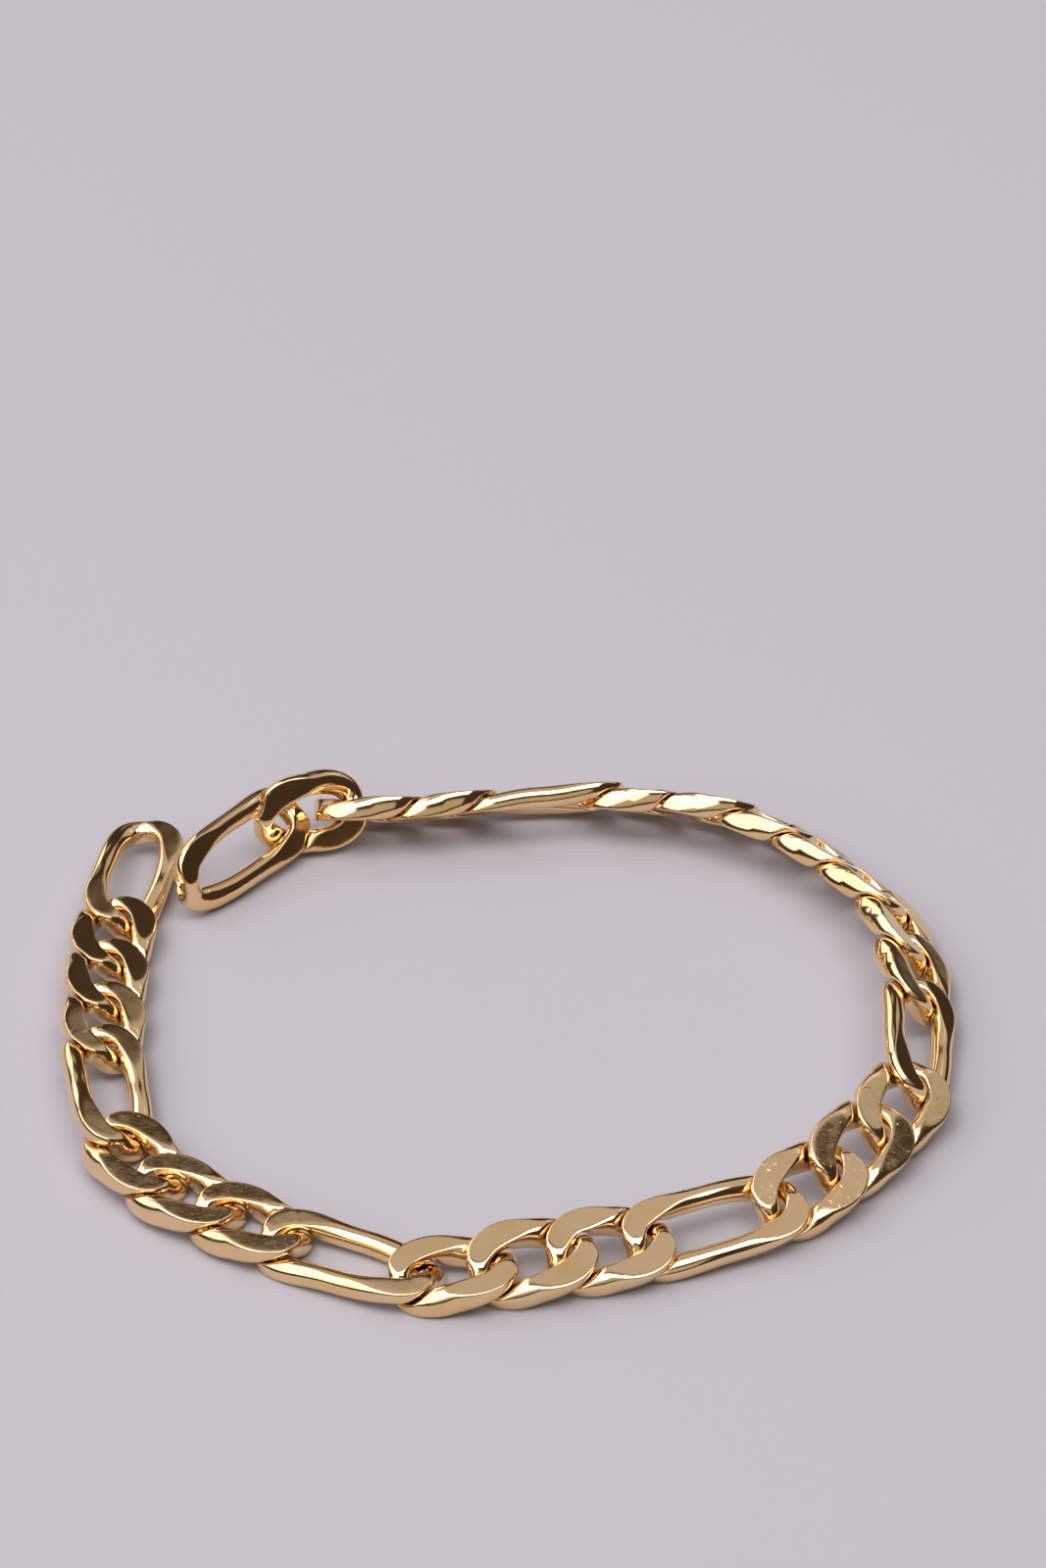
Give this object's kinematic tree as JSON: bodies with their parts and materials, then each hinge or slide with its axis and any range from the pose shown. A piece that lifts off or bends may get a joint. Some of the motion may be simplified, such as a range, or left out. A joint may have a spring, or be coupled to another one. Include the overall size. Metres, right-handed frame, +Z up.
{
  "type": "link bracelet",
  "caption": "Flat pressed curb-chain bracelet with longer links set between runs of short ones, lying open in a loose round loop.",
  "frame": {"origin": "middle of the loop's outline, on the surface that the chain lies on", "axes": "+Z up from the surface, which is the chain's thin direction; -Y towards the front of the loop as pictured, +X to its right"},
  "size_m": [0.071, 0.065, 0.0069],
  "materials": {
    "gold": "polished pale gold plating"
  },
  "bodies": {
    "root": {"long_link_00": "gold", "short_link_01": "gold", "short_link_02": "gold", "short_link_03": "gold", "long_link_04": "gold", "short_link_05": "gold", "short_link_06": "gold", "short_link_07": "gold", "short_link_08": "gold", "short_link_09": "gold", "short_link_10": "gold", "short_link_11": "gold", "long_link_12": "gold", "short_link_13": "gold", "short_link_14": "gold", "short_link_15": "gold", "long_link_16": "gold", "short_link_17": "gold", "short_link_18": "gold", "short_link_19": "gold", "long_link_20": "gold", "short_link_21": "gold", "short_link_22": "gold", "short_link_23": "gold", "long_link_24": "gold", "short_link_25": "gold", "short_link_26": "gold", "short_link_27": "gold", "long_link_28": "gold"}
  },
  "joints": []
}
